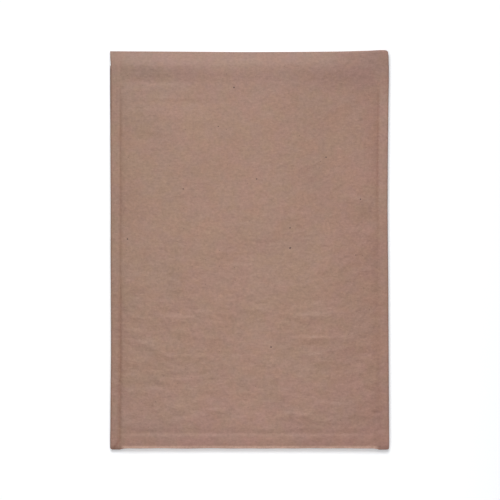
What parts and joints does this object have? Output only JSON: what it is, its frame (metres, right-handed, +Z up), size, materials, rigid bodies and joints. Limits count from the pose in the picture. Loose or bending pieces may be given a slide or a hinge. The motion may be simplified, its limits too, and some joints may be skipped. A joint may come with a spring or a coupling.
{
  "type": "padded envelope",
  "caption": "Flat padded mailing envelope: a kraft paper sheet folded round a bubble-film lining, with its flap folded to the back over a covered adhesive strip.",
  "frame": {"origin": "on the surface that the envelope lies on, below the middle of its length and width", "axes": "+X across the width, +Y along the length from the bottom fold to the flap's fold, +Z up through the front panel"},
  "size_m": [0.216, 0.3088, 0.0074],
  "materials": {
    "kraft_paper": "matt brown kraft paper",
    "bubble_film": "translucent polyethylene bubble film",
    "adhesive": "tacky hot-melt adhesive",
    "liner_paper": "smooth silicone-coated release paper"
  },
  "bodies": {
    "root": {"kraft_envelope": "kraft_paper", "bubble_lining": "bubble_film", "adhesive_strip": "adhesive", "release_liner": "liner_paper"}
  },
  "joints": []
}
